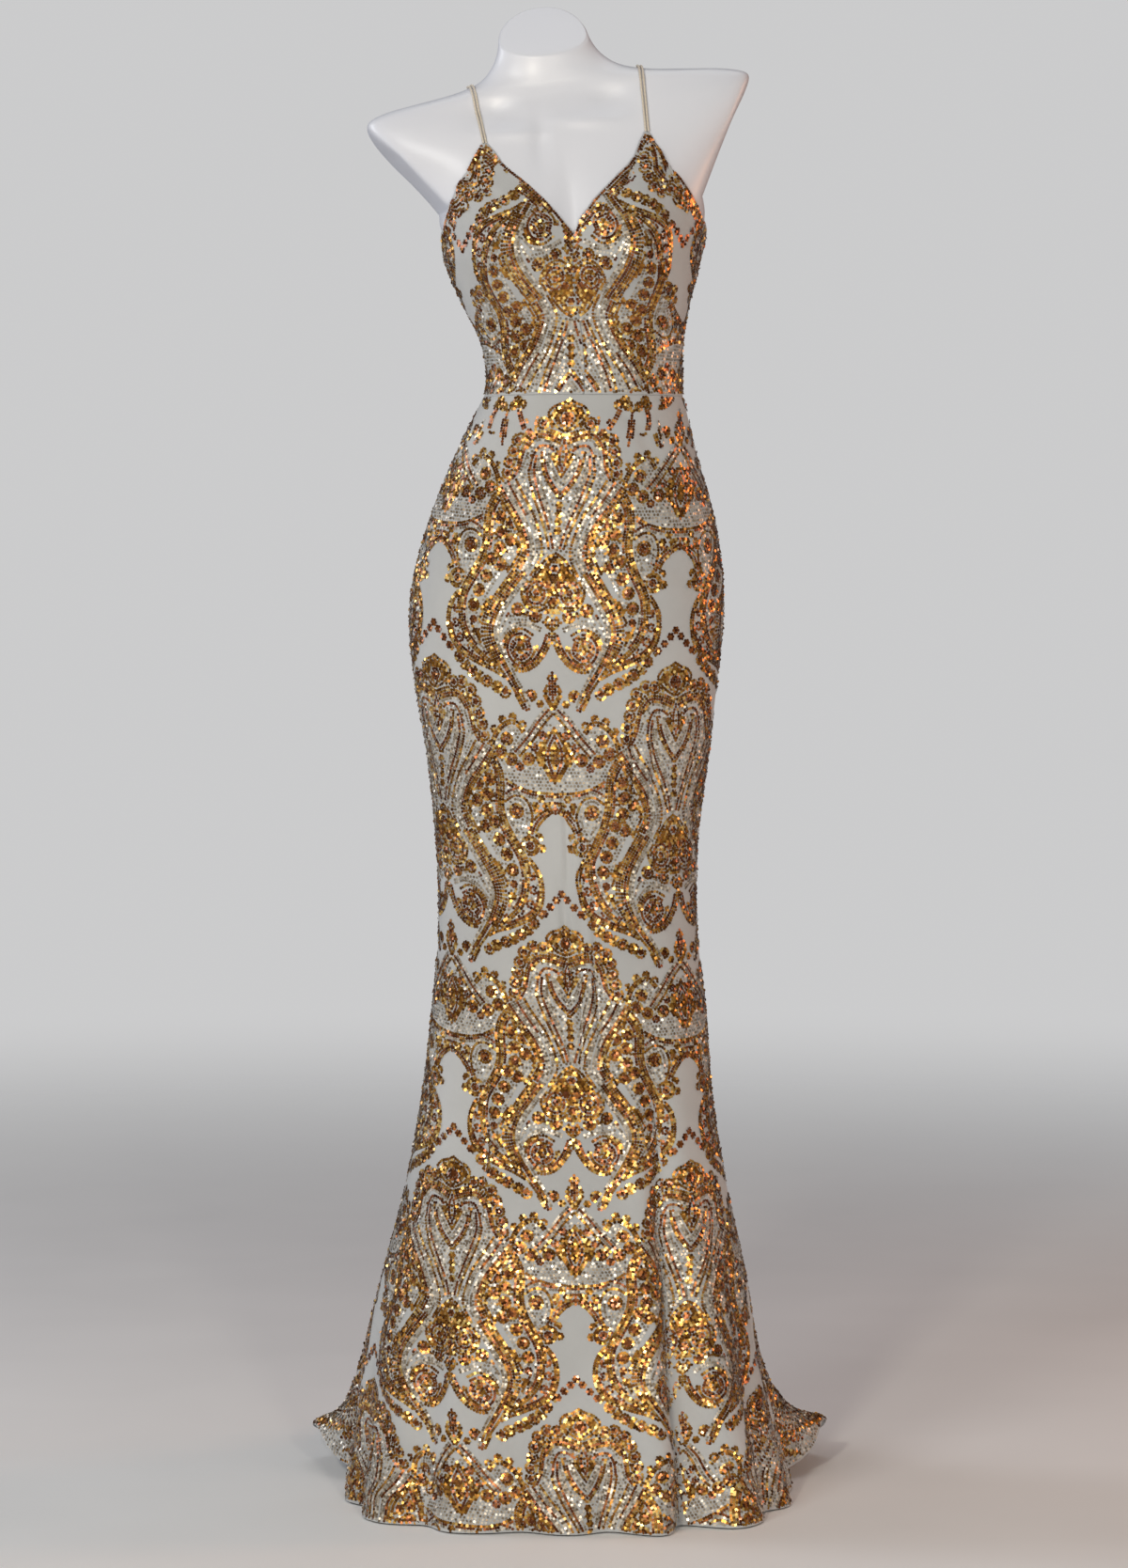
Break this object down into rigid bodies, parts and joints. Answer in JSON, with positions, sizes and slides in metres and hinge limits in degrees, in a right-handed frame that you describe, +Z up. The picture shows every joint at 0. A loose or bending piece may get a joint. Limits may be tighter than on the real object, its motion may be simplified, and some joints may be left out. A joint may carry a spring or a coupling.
{
  "type": "evening gown on a dress form",
  "caption": "Floor-length trumpet evening gown with V neck, thin shoulder cords, waist seam and short train, worn by a limbless dress form on a pole and round base.",
  "frame": {"origin": "middle of the stand's round base plate, on its underside, on the floor", "axes": "+Z up along the pole, the gown's front faces -Y, +X to the right of somebody who faces the front"},
  "size_m": [0.557, 0.7458, 1.5482],
  "materials": {
    "net": "matt pale grey-white stretch net",
    "sequin_gold": "metallised gold sequins",
    "sequin_bronze": "metallised dark bronze sequins",
    "sequin_clear": "silvery clear sequins and beads",
    "cord": "satin rouleau cord",
    "form_shell": "gloss white lacquer",
    "steel": "brushed"
  },
  "bodies": {
    "root": {"bodice_front_left": "net", "bodice_front_right": "net", "bodice_back_left": "net", "bodice_back_right": "net", "skirt_front": "net", "skirt_back_left": "net", "skirt_back_right": "net", "cord_left_inner": "cord", "cord_left_outer": "cord", "cord_right_inner": "cord", "cord_right_outer": "cord", "dress_form": "form_shell", "stand_base": "steel", "stand_pole": "steel", "stand_collar": "steel"}
  },
  "joints": []
}
